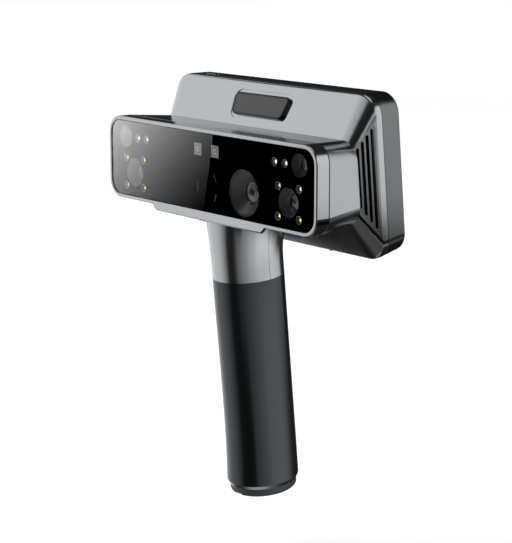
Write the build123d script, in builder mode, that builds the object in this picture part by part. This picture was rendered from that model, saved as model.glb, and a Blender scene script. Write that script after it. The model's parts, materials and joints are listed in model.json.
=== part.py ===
from build123d import *
from math import cos, radians, sin, sqrt
import os

os.makedirs("parts", exist_ok=True)

# A handheld three-d scanner, in millimetres.
# The origin is the middle of the hand grip, +Z is up and the front looks along -Y.

# Whole body
rake = 5.4  # degrees by which the grip and the display lean from the upright front face
head_lead = 41.7  # front face ahead of the grip's middle
overrun = 1.0  # how far a cut runs past the face that it opens
slip_gap = 0.15  # gap round a fixed piece in its seat
free_gap = 0.3  # gap round a piece that moves
running_gap = 0.06  # gap of a shaft in its hole, on the radius

# Front bar
front_width = 216.0
front_height = 55.6
front_corner = 12.0
front_rim = 2.4  # bezel round the window
front_round = 0.9
frame_depth = 9.8  # bezel part of the bar
bar_ahead = 14.4  # bar's rear end ahead of the rim, along its normal
bar_draft = 1.7  # bar lower at its rear end, above and below
bar_end_inset = 10.0  # bar narrower at its rear end, on each side
bar_rear_round = 1.2
bar_junction = 1.3  # sloped faces leave the bar this far ahead of its rear end
seam_bevel = 0.4
shell_wall = 3.0
chin_top_width = 117.0
chin_low_width = 108.4
chin_drop = 3.9
chin_thickness = 3.0
chin_bevel = 1.0

# Window stack, from the front backwards
glass_recess = 0.6
glass_thickness = 1.6
glass_bevel = 0.3
mask_thickness = 0.6
gasket_thickness = 0.8
ledge_thickness = 2.5
ledge_side = 6.4  # width of the glass seat at the window's ends
ledge_top = 0.5  # width of the glass seat above and below

# Optics, measured from the middle of the front face
lower_inset = 27.9  # axis in from the front's end
lower_drop = 9.3
lower_window = 9.5
lower_lens = 5.0
lower_cone = 4.7
upper_inset = 18.0
upper_rise = 14.4
upper_window = 7.4
upper_lens = 4.0
upper_cone = 4.0
texture_share = 0.17315  # of the front's width, right of its middle
texture_drop = 8.8
texture_window = 15.0
texture_lens = 7.0
texture_cone = 6.0
barrel_wall = 0.6
spigot_wall = 1.6
spigot_out = 1.5
lens_lip = 0.8
lens_thickness = 3.0
lens_round = 1.1
sensor_margin = 0.6
sensor_thickness = 1.2
bench_front = 15.0
bench_thickness = 4.0
bench_margin = 2.0  # past the window's opening at each end
bench_play = 1.2
post_radius = 1.6
post_rise = 12.0

# Lamps
lamp_step_x = 9.75  # from a lower camera's axis
lamp_step_z = 9.4
white_inset = 41.2  # inner white lamp in from the front's end
white_step = 9.7
white_rise = 14.3
lamp_radius = 1.75
lamp_height = 2.2
lamp_round = 1.2
collar_wall = 0.7
lamp_board_front = 6.2
lamp_board_thickness = 1.2
lamp_board_margin = 1.0

# Emitters
emitter_offset = 0.9  # middle of the pair, left of the front's middle
emitter_half_gap = 8.9
emitter_rise = 14.1
emitter_window = 8.0
emitter_margin = 0.8
laser_left_x = 10.0
laser_right_x = 8.0
laser_left_drop = 9.7
laser_high_drop = 3.2
laser_low_drop = 15.5
slit_length = 7.0
slit_width = 1.7
slit_lean = 30.0  # degrees
laser_radius = 4.2
laser_length = 24.0

# Sloped head, rim and display, in the frame of the leaning rim
rim_lead = 57.5  # rim behind the front face, at the height of the front's middle
rim_mid = 1.6  # rim's middle above the front's middle
rim_clear = 19.35  # rim's lower edge above the grip's upper end
rim_inset = 7.0  # rim's end in from the front's end
rim_height = 104.6
rim_corner = 14.0
rim_band = 4.2
rim_round = 2.0
rim_wall = 3.2
side_taper_share = 0.4  # half-width lost for each millimetre ahead of the rim
narrow_corner = 10.0
narrow_wall = 3.6
back_side_inset = 1.2  # rear face in from the rim at its ends
back_edge_inset = 1.95  # and above and below
back_shift = 0.45
back_depth = 16.4  # rear frame behind its seam
back_corner = 12.6
back_round = 2.2
back_wall = 3.4
tongue_wall = 2.2
tongue_length = 3.4
display_bezel = 3.2
display_recess = 0.2
display_thickness = 1.8
display_corner = 9.4
panel_side_inset = 14.8
panel_edge_inset = 11.35
panel_thickness = 2.2
panel_corner = 4.0
plate_thickness = 2.0
standoff_radius = 2.6
standoff_height = 3.0
board_fan_gap = 3.0
board_edge_inset = 7.0
board_thickness = 1.6
board_corner = 3.0
board_inset = 5.0
sink_width_share = 0.6087  # of the board's width
sink_height_share = 0.625  # of the board's height
sink_base = 3.0
sink_depth = 11.0
fin_thickness = 1.4
fin_count = 9
screw_radius = 1.0
screw_head_radius = 1.9
screw_head = 1.2
screw_grip = 1.6
screw_inset = 5.0

# Vents in the head's sides, measured from the rim along the sloped side
vent_back = 1.7
vent_front = 16.2
vent_top_margin = 1.7
vent_low_margin = 2.7
vent_top_share = 1.11  # slope of the panel's upper edge
vent_low_share = 1.48  # slope of its lower edge
vent_corner = 1.5
vent_recess = 0.3
vent_thickness = 1.5
vent_ledge = 1.3
slot_first = 3.6
slot_pitch = 3.3
slot_count = 4
slot_width = 2.1
slot_margin = 2.0

# Badge on the sloped upper face
badge_width = 55.4
badge_low_width = 50.4
badge_height = 15.4
badge_corner = 3.8
badge_below = 16.0  # badge's middle below the rim's upper edge, along the face
badge_recess = 2.5  # shallow recess round the plate
badge_pocket = 0.5
badge_thickness = 2.5
badge_bevel = 0.8

# Fans
fan_inset = 33.0  # fan's axis in from the rim's end
fan_size = 40.0
fan_corner = 4.0
fan_thickness = 10.0
fan_forward = 1.0
fan_chamber = 17.6
fan_floor = 1.6
fan_outlet = 22.0
fan_leg_radius = 1.8
fan_leg_inset = 4.0
spindle_radius = 1.5
rotor_hub_radius = 7.0
rotor_radius = 16.6
rotor_height = 6.6
blade_thickness = 1.1
blade_count = 11

# Power button in the head's top edge
power_inset = 30.0  # in from the rim's left end
power_back = 9.0  # behind the rim
power_length = 12.4
power_width = 3.6
power_proud = 0.8
power_round = 0.5
power_flange = 0.9
power_flange_thickness = 1.1
power_travel = 0.6
switch_length = 6.4
switch_depth = 4.0
switch_height = 3.6

# Neck and grip, measured along the leaning grip axis from the grip's middle
grip_half_width = 22.8
grip_half_depth = 24.3
grip_length = 140.7
grip_waist = 0.1
grip_flare = 0.5
grip_flare_lead = 0.9
grip_waist_share = 0.2132  # of the grip's length, above and below its middle
sleeve_wall = 1.5
neck_wall = 1.5
neck_seam = 0.25
neck_straight_share = 0.284  # straight part above the sleeve, of the neck's length
neck_mid_share = 0.568
neck_mid_growth = 0.9
neck_mid_tilt = 12.0  # degrees
neck_high_share = 0.852
neck_high_growth = 3.6
neck_high_tilt = 22.0  # degrees
neck_top_share = 1.195
neck_top_growth = 10.8
neck_top_tilt = 25.0  # degrees
wire_radius = 10.0
wire_reach_share = 1.4675
core_bore = 18.3

# Battery and the grip's end
battery_gap = 0.4
battery_short = 18.7  # battery shorter than the sleeve
battery_round = 2.0
battery_rise = 0.9
contact_gap = 3.2
contact_board_thickness = 1.6
contact_radius = 2.4
contact_step = 7.0
ring_height = 2.4
ring_bevel = 1.1
door_height = 5.6
door_inset = 1.3
door_round = 2.2
door_gap = 0.3
hinge_set_back = 5.6  # pin ahead of the grip's rear surface
pin_radius = 1.0
knuckle_radius = 2.2
knuckle_length = 12.0
pin_length = 20.0
notch_radius = 4.0
notch_depth = 1.4

# Scan button on the neck's back
scan_rise = 9.5  # above the sleeve's upper edge
scan_radius = 6.5
scan_proud = 0.9
scan_round = 0.7
scan_flange = 1.1
scan_flange_thickness = 1.2
scan_travel = 1.0
scan_stand = 3.6  # flange's face inside the neck's rear surface
scan_board_height = 24.0
scan_board_thickness = 1.2
scan_switch_size = 6.0
scan_switch_height = 3.4
scan_window = 1.6

# Frames of the head, of the leaning rim and of the grip
head_height = grip_length / 2 + rim_clear + rim_height / 2 - rim_mid
lean_cos = cos(radians(rake))
lean_sin = sin(radians(rake))
across = Vector(1, 0, 0)
rim_up = Vector(0, -lean_sin, lean_cos)
rim_forward = Vector(0, -lean_cos, -lean_sin)
head = Plane(origin=(0, -head_lead, head_height), x_dir=across, z_dir=(0, -1, 0))
rim = Plane(origin=(0, rim_lead - head_lead, head_height), x_dir=across, z_dir=rim_forward)
grip = Plane(origin=(0, 0, 0), x_dir=across, z_dir=rim_up)


def save(piece, name):
    piece.part.label = name
    export_step(piece.part, f"parts/{name}.step")


def behind(depth):
    return head.offset(-depth)


def on_axis(x, z):
    # Plane through an optical axis: local x is the radius, local y runs backwards from the front face
    return Plane(origin=(x, -head_lead, head_height + z), x_dir=across, z_dir=(0, 0, 1))


def optical_axis(x, z):
    return Axis((x, -head_lead, head_height + z), (0, 1, 0))


def rounded(plane, width, height, corner, mid):
    with BuildSketch(plane) as outline:
        with Locations((0, mid)):
            RectangleRounded(width, height, corner)
    return outline.sketch


# Sizes that follow from the ones above
lower_x = front_width / 2 - lower_inset
upper_x = front_width / 2 - upper_inset
white_near = front_width / 2 - white_inset
texture_x = texture_share * front_width
rim_width = front_width - 2 * rim_inset
back_width = rim_width - 2 * back_side_inset
back_height = rim_height - 2 * back_edge_inset
back_mid = rim_mid + back_shift
panel_width = back_width - 2 * panel_side_inset
panel_height = back_height - 2 * panel_edge_inset
fan_x = rim_width / 2 - fan_inset
power_x = power_inset - rim_width / 2
board_width = 2 * (fan_x - fan_size / 2 - board_fan_gap)
board_height = panel_height - 2 * board_edge_inset
sink_width = sink_width_share * board_width
sink_height = sink_height_share * board_height
neck_top = grip_length / 2
neck_length = head_height - front_height / 2 - neck_top
neck_straight = neck_straight_share * neck_length
neck_mid_rise = neck_mid_share * neck_length
neck_high_rise = neck_high_share * neck_length
neck_top_rise = neck_top_share * neck_length
wire_reach = wire_reach_share * neck_length
grip_waist_height = grip_waist_share * grip_length
battery_length = grip_length - battery_short

window_width = front_width - 2 * front_rim
window_height = front_height - 2 * front_rim
window_corner = front_corner - front_rim
cavity_width = front_width - 2 * shell_wall
cavity_height = front_height - 2 * shell_wall
cavity_corner = front_corner - shell_wall
opening_width = window_width - 2 * ledge_side
opening_height = window_height - 2 * ledge_top
opening_corner = window_corner - ledge_top
glass_width = window_width - 2 * slip_gap
glass_height = window_height - 2 * slip_gap
mask_width = opening_width - 2 * slip_gap
mask_height = opening_height - 2 * slip_gap
glass_back = glass_recess + glass_thickness
mask_back = glass_back + mask_thickness
ledge_front = glass_back + gasket_thickness
ledge_back = ledge_front + ledge_thickness
bench_width = opening_width + 2 * bench_margin
bench_height = cavity_height - 2 * bench_play
bench_back = bench_front + bench_thickness
spigot_end = bench_back + spigot_out

rim_top = rim_mid + rim_height / 2
rim_low = rim_mid - rim_height / 2
bar_end_width = front_width - 2 * bar_end_inset
bar_end_shift = lean_sin * bar_ahead / lean_cos
bar_end_height = (front_height - 2 * bar_draft) / lean_cos
taper_depth = bar_ahead + bar_junction
narrow_top = bar_end_shift + bar_end_height / 2
narrow_low = bar_end_shift - bar_end_height / 2
narrow_mid = (narrow_top + narrow_low) / 2
narrow_height = narrow_top - narrow_low
narrow_width = rim_width - 2 * side_taper_share * taper_depth
rim_inner_width = rim_width - 2 * rim_wall
rim_inner_height = rim_height - 2 * rim_wall
rim_inner_corner = rim_corner - rim_wall


def ahead_of_rim(distance):
    # Filter for the edges that lie in a plane ahead of the rim
    return lambda edge: abs(rim.to_local_coords(edge.center()).Z - distance) < slip_gap


def bar_end(inset, distance):
    width = bar_end_width - 2 * inset
    height = bar_end_height - 2 * inset
    return rounded(rim.offset(distance), width, height, front_corner - inset, bar_end_shift)


# Outer form of bar, sloped head and rim, used by the shell and by what meets it
def head_form(bar_front):
    seam_outline = rounded(
        behind(frame_depth),
        front_width - 2 * seam_bevel,
        front_height - 2 * seam_bevel,
        front_corner - seam_bevel,
        0,
    )
    bar_outline = rounded(behind(frame_depth + seam_bevel), front_width, front_height, front_corner, 0)
    narrow_outline = rounded(rim.offset(taper_depth), narrow_width, narrow_height, narrow_corner, narrow_mid)
    rim_outline = rounded(rim, rim_width, rim_height, rim_corner, rim_mid)
    loft([seam_outline, bar_outline, bar_end(0, bar_ahead)], ruled=True)
    fillet(edges().filter_by(ahead_of_rim(bar_ahead)), radius=bar_rear_round)
    if bar_front < frame_depth:
        extrude(bar_outline, amount=frame_depth + seam_bevel - bar_front)
    loft([narrow_outline, rim_outline])
    extrude(rim_outline, amount=-rim_band)
    fillet(edges().filter_by(ahead_of_rim(0)), radius=rim_round)


with BuildPart() as head_block:
    head_form(-frame_depth)

# Front frame: bezel, glass seat and chin
with BuildPart() as front_frame:
    with BuildSketch(head):
        RectangleRounded(front_width, front_height, front_corner)
    extrude(amount=-frame_depth)
    fillet(front_frame.edges().group_by(Axis.Y)[0], radius=front_round)
    chamfer(front_frame.edges().group_by(Axis.Y)[-1], length=seam_bevel)
    with BuildSketch(head):
        with BuildLine():
            Polyline(
                (-chin_top_width / 2, front_rim - front_height / 2),
                (chin_top_width / 2, front_rim - front_height / 2),
                (chin_top_width / 2, -front_height / 2),
                (chin_low_width / 2, -front_height / 2 - chin_drop),
                (-chin_low_width / 2, -front_height / 2 - chin_drop),
                (-chin_top_width / 2, -front_height / 2),
                close=True,
            )
        make_face()
    extrude(amount=-chin_thickness)
    chamfer(front_frame.edges().filter_by(Axis.X).group_by(Axis.Z)[0].sort_by(Axis.Y)[0], length=chin_bevel)
    with BuildSketch(head):
        RectangleRounded(window_width, window_height, window_corner)
    extrude(amount=-ledge_front, mode=Mode.SUBTRACT)
    with BuildSketch(head):
        RectangleRounded(opening_width, opening_height, opening_corner)
    extrude(amount=-frame_depth, mode=Mode.SUBTRACT)
    with BuildSketch(behind(ledge_back)):
        RectangleRounded(cavity_width, cavity_height, cavity_corner)
    extrude(amount=-frame_depth, mode=Mode.SUBTRACT)
save(front_frame, "front_frame")

with BuildPart() as front_glass:
    with BuildSketch(behind(glass_recess)):
        RectangleRounded(glass_width, glass_height, window_corner - slip_gap)
    extrude(amount=-glass_thickness)
    chamfer(front_glass.edges().group_by(Axis.Y)[0], length=glass_bevel)
save(front_glass, "front_glass")

with BuildPart() as front_gasket:
    with BuildSketch(behind(glass_back)):
        RectangleRounded(glass_width, glass_height, window_corner - slip_gap)
        RectangleRounded(opening_width, opening_height, opening_corner, mode=Mode.SUBTRACT)
    extrude(amount=-gasket_thickness)
save(front_gasket, "front_gasket")

# Places of the optics on the front face
cameras = {
    "camera_lower_left": (-lower_x, -lower_drop, lower_window, lower_lens, lower_cone),
    "camera_lower_right": (lower_x, -lower_drop, lower_window, lower_lens, lower_cone),
    "camera_upper_left": (-upper_x, upper_rise, upper_window, upper_lens, upper_cone),
    "camera_upper_right": (upper_x, upper_rise, upper_window, upper_lens, upper_cone),
    "texture_camera": (texture_x, -texture_drop, texture_window, texture_lens, texture_cone),
}
emitters = {
    "projector_left": (-emitter_offset - emitter_half_gap, emitter_rise),
    "projector_right": (emitter_half_gap - emitter_offset, emitter_rise),
}
lasers = [
    (-laser_left_x, -laser_left_drop, 0),
    (laser_right_x, -laser_high_drop, slit_lean),
    (laser_right_x, -laser_low_drop, -slit_lean),
]
sides = {"left": -1, "right": 1}
collar_radius = lamp_radius + slip_gap + collar_wall


def lamp_places(side):
    ring = [
        (side * (lower_x + i * lamp_step_x), k * lamp_step_z - lower_drop)
        for i in (-1, 1)
        for k in (-1, 1)
    ]
    pair = [(side * (white_near + i * white_step), white_rise) for i in (0, 1)]
    return ring + pair


with BuildPart() as front_mask:
    with BuildSketch(behind(glass_back)):
        RectangleRounded(mask_width, mask_height, opening_corner - slip_gap)
        for x, z, window, lens, cone in cameras.values():
            with Locations((x, z)):
                Circle(window, mode=Mode.SUBTRACT)
        for side in sides.values():
            with Locations(*lamp_places(side)):
                Circle(collar_radius + slip_gap, mode=Mode.SUBTRACT)
        with Locations(*emitters.values()):
            Rectangle(emitter_window, emitter_window, mode=Mode.SUBTRACT)
        for x, z, lean in lasers:
            with Locations((x, z)):
                SlotOverall(slit_length, slit_width, rotation=90 + lean, mode=Mode.SUBTRACT)
    extrude(amount=-mask_thickness)
save(front_mask, "front_mask")

# Camera barrels, lenses and sensor boards
for name, (x, z, window, lens, cone) in cameras.items():
    seat = mask_back + cone
    with BuildPart() as barrel:
        with BuildSketch(on_axis(x, z)):
            with BuildLine():
                Polyline(
                    (window, mask_back),
                    (window + barrel_wall, mask_back),
                    (window + barrel_wall, bench_front),
                    (lens + spigot_wall, bench_front),
                    (lens + spigot_wall, spigot_end),
                    (lens - lens_lip, spigot_end),
                    (lens - lens_lip, seat + lens_thickness),
                    (lens, seat + lens_thickness),
                    (lens, seat),
                    close=True,
                )
            make_face()
        revolve(axis=optical_axis(x, z))
    save(barrel, f"{name}_barrel")

    with BuildPart() as lens_disc:
        with BuildSketch(behind(seat)):
            with Locations((x, z)):
                Circle(lens - slip_gap)
        extrude(amount=-lens_thickness)
        fillet(lens_disc.edges().group_by(Axis.Y)[0], radius=lens_round)
    save(lens_disc, f"{name}_lens")

with BuildPart() as sensor_boards:
    with BuildSketch(behind(spigot_end)):
        for x, z, window, lens, cone in cameras.values():
            with Locations((x, z)):
                Rectangle(*[2 * (lens + spigot_wall + sensor_margin)] * 2)
    extrude(amount=-sensor_thickness)
save(sensor_boards, "sensor_boards")

with BuildPart() as optical_bench:
    with BuildSketch(behind(bench_front)):
        RectangleRounded(bench_width, bench_height, cavity_corner)
        for x, z, window, lens, cone in cameras.values():
            with Locations((x, z)):
                Circle(lens + spigot_wall + slip_gap, mode=Mode.SUBTRACT)
        for x, z, lean in lasers:
            with Locations((x, z)):
                Circle(laser_radius + slip_gap, mode=Mode.SUBTRACT)
    extrude(amount=-bench_thickness)
    with BuildSketch(behind(ledge_back)):
        with GridLocations(opening_width + 2 * post_radius, 2 * post_rise, 2, 2):
            Circle(post_radius)
    extrude(amount=ledge_back - bench_front)
save(optical_bench, "optical_bench")

# Lamps with their collars and boards
lamp_board_inner = white_near - lamp_board_margin - collar_radius
lamp_board_outer = upper_x + upper_window + barrel_wall + lamp_board_margin
lamp_board_low = lower_drop + lamp_step_z + collar_radius + lamp_board_margin
lamp_board_top = upper_rise + upper_window + barrel_wall + lamp_board_margin
lamp_board_x = (lamp_board_inner + lamp_board_outer) / 2
lamp_board_z = (lamp_board_top - lamp_board_low) / 2
for word, side in sides.items():
    with BuildPart() as lamp_board:
        with BuildSketch(behind(lamp_board_front)):
            with Locations((side * lamp_board_x, lamp_board_z)):
                Rectangle(lamp_board_outer - lamp_board_inner, lamp_board_top + lamp_board_low)
            for x, z, window, lens, cone in cameras.values():
                with Locations((x, z)):
                    Circle(window + barrel_wall + slip_gap, mode=Mode.SUBTRACT)
        extrude(amount=-lamp_board_thickness)
    save(lamp_board, f"led_board_{word}")

    with BuildPart() as lamps:
        with BuildSketch(behind(lamp_board_front)):
            with Locations(*lamp_places(side)):
                Circle(lamp_radius)
        extrude(amount=lamp_height)
        fillet(lamps.edges().group_by(Axis.Y)[0], radius=lamp_round)
    save(lamps, f"leds_{word}")

    with BuildPart() as collars:
        with BuildSketch(behind(lamp_board_front)):
            with Locations(*lamp_places(side)):
                Circle(collar_radius)
                Circle(collar_radius - collar_wall, mode=Mode.SUBTRACT)
        extrude(amount=lamp_board_front - glass_back - slip_gap)
    save(collars, f"led_collars_{word}")

for name, place in emitters.items():
    with BuildPart() as projector:
        with BuildSketch(behind(mask_back)):
            with Locations(place):
                Rectangle(*[emitter_window + 2 * emitter_margin] * 2)
        extrude(amount=mask_back - bench_front)
    save(projector, name)

with BuildPart() as laser_modules:
    with BuildSketch(behind(mask_back)):
        with Locations(*[(x, z) for x, z, lean in lasers]):
            Circle(laser_radius)
    extrude(amount=-laser_length)
save(laser_modules, "laser_modules")

# Vents
vent_top_back = rim_top - rim_corner - vent_top_margin
vent_low_back = rim_low + rim_corner + vent_low_margin


def vent_top(along):
    return vent_top_back - vent_top_share * (along - vent_back)


def vent_low(along):
    return vent_low_back + vent_low_share * (along - vent_back)


def vent_plane(side):
    # Sloped side face: local x runs forwards from the rim, local y along the rim, turned by the side
    out = (across * side + rim_forward * side_taper_share).normalized()
    ahead = (rim_forward - across * (side * side_taper_share)).normalized()
    return Plane(origin=rim.from_local_coords((side * rim_width / 2, 0, 0)), x_dir=ahead, z_dir=out)


def vent_outline(plane, side, inset):
    with BuildSketch(plane) as outline:
        with BuildLine():
            Polyline(
                (vent_back, -side * vent_low(vent_back)),
                (vent_back, -side * vent_top(vent_back)),
                (vent_front, -side * vent_top(vent_front)),
                (vent_front, -side * vent_low(vent_front)),
                close=True,
            )
        make_face()
        fillet(outline.vertices(), radius=vent_corner)
        if inset:
            offset(amount=-inset, mode=Mode.REPLACE)
    return outline.sketch


# Badge's place on the sloped upper face
face_out = (rim_up * taper_depth + rim_forward * (rim_top - narrow_top)).normalized()
face = Plane(origin=rim.from_local_coords((0, rim_top, 0)), x_dir=across, z_dir=face_out)


def badge_outline(plane, inset):
    with BuildSketch(plane) as outline:
        with Locations((0, -badge_below)):
            Polygon(
                (-badge_low_width / 2, -badge_height / 2),
                (badge_low_width / 2, -badge_height / 2),
                (badge_width / 2, badge_height / 2),
                (-badge_width / 2, badge_height / 2),
            )
        fillet(outline.vertices(), radius=badge_corner)
        if inset:
            offset(amount=-inset, mode=Mode.REPLACE)
    return outline.sketch


with BuildPart() as badge_plate:
    extrude(badge_outline(face.offset(-badge_pocket), 0), amount=badge_thickness)
    top_face = badge_plate.faces().sort_by(Axis(face.origin, face_out))[-1]
    chamfer(top_face.edges(), length=badge_bevel)
save(badge_plate, "badge_plate")

# Main shell
rim_screw_x = rim_width / 4
rim_screw_back = rim_band / 2 - tongue_length / 4


def rim_screw_plane(x):
    # Underside of the rim: local z points down and out
    spot = rim.from_local_coords((x, rim_low, -rim_screw_back))
    return Plane(origin=spot, x_dir=across, z_dir=-rim_up)


with BuildPart() as main_shell:
    head_form(frame_depth)
    cavity_front = rounded(behind(frame_depth - overrun), cavity_width, cavity_height, cavity_corner, 0)
    loft([cavity_front, bar_end(shell_wall, bar_ahead + shell_wall)], mode=Mode.SUBTRACT)
    narrow_inside = rounded(
        rim.offset(taper_depth),
        narrow_width - 2 * narrow_wall,
        narrow_height - 2 * narrow_wall,
        narrow_corner - shell_wall,
        narrow_mid,
    )
    rim_inside = rounded(rim, rim_inner_width, rim_inner_height, rim_inner_corner, rim_mid)
    loft([narrow_inside, rim_inside], mode=Mode.SUBTRACT)
    extrude(rim_inside, amount=-rim_band - overrun, mode=Mode.SUBTRACT)
    extrude(narrow_inside, amount=shell_wall - bar_junction + overrun, mode=Mode.SUBTRACT)
    for side in sides.values():
        vent_seat = vent_plane(side).offset(-vent_recess - vent_thickness)
        vent_room = vent_thickness + vent_recess + overrun
        extrude(vent_outline(vent_seat, side, 0), amount=vent_room, mode=Mode.SUBTRACT)
        extrude(vent_outline(vent_seat, side, vent_ledge), amount=-narrow_wall, mode=Mode.SUBTRACT)
    badge_seat = badge_outline(face.offset(-badge_pocket), -badge_recess)
    extrude(badge_seat, amount=badge_pocket + overrun, mode=Mode.SUBTRACT)
    with BuildSketch(grip.offset(neck_top)):
        Circle(wire_radius)
    extrude(amount=wire_reach, mode=Mode.SUBTRACT)
    for x in (-rim_screw_x, rim_screw_x):
        with BuildSketch(rim_screw_plane(x).offset(-rim_wall - overrun)):
            Circle(screw_radius + slip_gap)
        extrude(amount=rim_wall + 2 * overrun, mode=Mode.SUBTRACT)
        with BuildSketch(rim_screw_plane(x).offset(-screw_head)):
            Circle(screw_head_radius + slip_gap)
        extrude(amount=screw_head + overrun, mode=Mode.SUBTRACT)
save(main_shell, "main_shell")

for word, side in sides.items():
    with BuildPart() as grille:
        vent_seat = vent_plane(side).offset(-vent_recess - vent_thickness)
        extrude(vent_outline(vent_seat, side, slip_gap), amount=vent_thickness)
        with BuildSketch(vent_seat):
            for i in range(slot_count):
                along = slot_first + i * slot_pitch
                slot_top = vent_top(along) - slot_margin
                slot_low = vent_low(along) + slot_margin
                with Locations((along, -side * (slot_top + slot_low) / 2)):
                    SlotOverall(slot_top - slot_low, slot_width, rotation=90)
        extrude(amount=vent_thickness, mode=Mode.SUBTRACT)
    save(grille, f"vent_grille_{word}")

# Rear frame with its tongue, glass seat and display opening
rearwards = Axis(rim.origin, -rim_forward)
back_end = rim_band + back_depth
glass_seat = back_end - display_recess - display_thickness
ledge_face = glass_seat - panel_thickness
display_width = back_width - 2 * display_bezel
display_height = back_height - 2 * display_bezel
inner_width = back_width - 2 * back_wall
inner_height = back_height - 2 * back_wall
inner_corner = back_corner - back_wall / 2
power_share = (power_back - rim_band) / back_depth
top_edge = rim_top + (back_mid + back_height / 2 - rim_top) * power_share
power_top = Plane(
    origin=rim.from_local_coords((power_x, top_edge, -power_back)), x_dir=across, z_dir=rim_up
)
inner_top = back_mid + inner_height / 2
power_wall = top_edge - inner_top

with BuildPart() as rear_frame:
    seam_outline = rounded(
        rim.offset(-rim_band),
        rim_width - 2 * seam_bevel,
        rim_height - 2 * seam_bevel,
        rim_corner - seam_bevel,
        rim_mid,
    )
    side_outline = rounded(rim.offset(-rim_band - seam_bevel), rim_width, rim_height, rim_corner, rim_mid)
    back_outline = rounded(rim.offset(-back_end), back_width, back_height, back_corner, back_mid)
    loft([seam_outline, side_outline, back_outline], ruled=True)
    fillet(rear_frame.edges().group_by(rearwards)[-1], radius=back_round)
    tongue_outline = rounded(
        rim.offset(tongue_length - rim_band),
        rim_inner_width - 2 * slip_gap,
        rim_inner_height - 2 * slip_gap,
        rim_inner_corner - slip_gap,
        rim_mid,
    )
    extrude(tongue_outline, amount=-tongue_length - overrun)
    inner_outline = rounded(rim.offset(-ledge_face), inner_width, inner_height, inner_corner, back_mid)
    extrude(inner_outline, amount=ledge_face + overrun, mode=Mode.SUBTRACT)
    glass_outline = rounded(rim.offset(-glass_seat), display_width, display_height, display_corner, back_mid)
    extrude(glass_outline, amount=-display_thickness - display_recess - overrun, mode=Mode.SUBTRACT)
    panel_room = rounded(
        rim.offset(-ledge_face),
        panel_width + 2 * slip_gap,
        panel_height + 2 * slip_gap,
        panel_corner + slip_gap,
        back_mid,
    )
    extrude(panel_room, amount=-panel_thickness - overrun, mode=Mode.SUBTRACT)
    with BuildSketch(power_top.offset(overrun)):
        SlotOverall(power_length + 2 * free_gap, power_width + 2 * free_gap)
    extrude(amount=-power_wall - 2 * overrun, mode=Mode.SUBTRACT)
    for x in (-rim_screw_x, rim_screw_x):
        with BuildSketch(rim_screw_plane(x).offset(-rim_wall - 2 * tongue_wall)):
            Circle(screw_radius + slip_gap)
        extrude(amount=2 * tongue_wall, mode=Mode.SUBTRACT)
    screw_span_x = inner_width - 2 * screw_inset
    screw_span_y = inner_height - 2 * screw_inset
    with BuildSketch(rim.offset(-ledge_face - screw_grip)):
        with Locations((0, back_mid)):
            with GridLocations(screw_span_x, screw_span_y, 2, 2):
                Circle(screw_radius + slip_gap)
    extrude(amount=screw_grip + overrun, mode=Mode.SUBTRACT)
save(rear_frame, "rear_frame")

with BuildPart() as display_glass:
    glass_outline = rounded(
        rim.offset(-glass_seat),
        display_width - 2 * slip_gap,
        display_height - 2 * slip_gap,
        display_corner - slip_gap,
        back_mid,
    )
    extrude(glass_outline, amount=-display_thickness)
    chamfer(display_glass.edges().group_by(rearwards)[-1], length=glass_bevel)
save(display_glass, "display_glass")

with BuildPart() as display_panel:
    panel_outline = rounded(rim.offset(-ledge_face), panel_width, panel_height, panel_corner, back_mid)
    extrude(panel_outline, amount=-panel_thickness)
save(display_panel, "display_panel")

# Middle plate with standoffs for the main board
plate_face = ledge_face - plate_thickness
board_face = plate_face - standoff_height
board_span_x = board_width - 2 * board_inset
board_span_y = board_height - 2 * board_inset
with BuildPart() as mid_plate:
    with BuildSketch(rim.offset(-ledge_face)):
        with Locations((0, back_mid)):
            RectangleRounded(inner_width - 2 * free_gap, inner_height - 2 * free_gap, inner_corner - free_gap)
            with GridLocations(screw_span_x, screw_span_y, 2, 2):
                Circle(screw_radius + slip_gap, mode=Mode.SUBTRACT)
    extrude(amount=plate_thickness)
    with BuildSketch(rim.offset(-plate_face)):
        with Locations((0, back_mid)):
            with GridLocations(board_span_x, board_span_y, 2, 2):
                Circle(standoff_radius)
    extrude(amount=standoff_height)
save(mid_plate, "mid_plate")

with BuildPart() as plate_screws:
    with BuildSketch(rim.offset(-ledge_face - screw_grip)):
        with Locations((0, back_mid)):
            with GridLocations(screw_span_x, screw_span_y, 2, 2):
                Circle(screw_radius)
    extrude(amount=screw_grip + plate_thickness)
    with BuildSketch(rim.offset(-plate_face)):
        with Locations((0, back_mid)):
            with GridLocations(screw_span_x, screw_span_y, 2, 2):
                Circle(screw_head_radius)
    extrude(amount=screw_head)
save(plate_screws, "plate_screws")

with BuildPart() as rim_screws:
    for x in (-rim_screw_x, rim_screw_x):
        with BuildSketch(rim_screw_plane(x).offset(-rim_wall - 2 * tongue_wall)):
            Circle(screw_radius)
        extrude(amount=rim_wall + 2 * tongue_wall - screw_head)
        with BuildSketch(rim_screw_plane(x).offset(-screw_head)):
            Circle(screw_head_radius)
        extrude(amount=screw_head)
save(rim_screws, "rim_screws")

with BuildPart() as main_board:
    board_outline = rounded(rim.offset(-board_face), board_width, board_height, board_corner, back_mid)
    extrude(board_outline, amount=board_thickness)
save(main_board, "main_board")

sink_face = board_face - board_thickness
fin_pitch = (sink_width - fin_thickness) / (fin_count - 1)
with BuildPart() as heat_sink:
    with BuildSketch(rim.offset(-sink_face)):
        with Locations((0, back_mid)):
            Rectangle(sink_width, sink_height)
    extrude(amount=sink_base)
    with BuildSketch(rim.offset(-sink_face)):
        with Locations((0, back_mid)):
            with GridLocations(fin_pitch, sink_height, fin_count, 1):
                Rectangle(fin_thickness, sink_height)
    extrude(amount=sink_depth)
save(heat_sink, "heat_sink")

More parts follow.
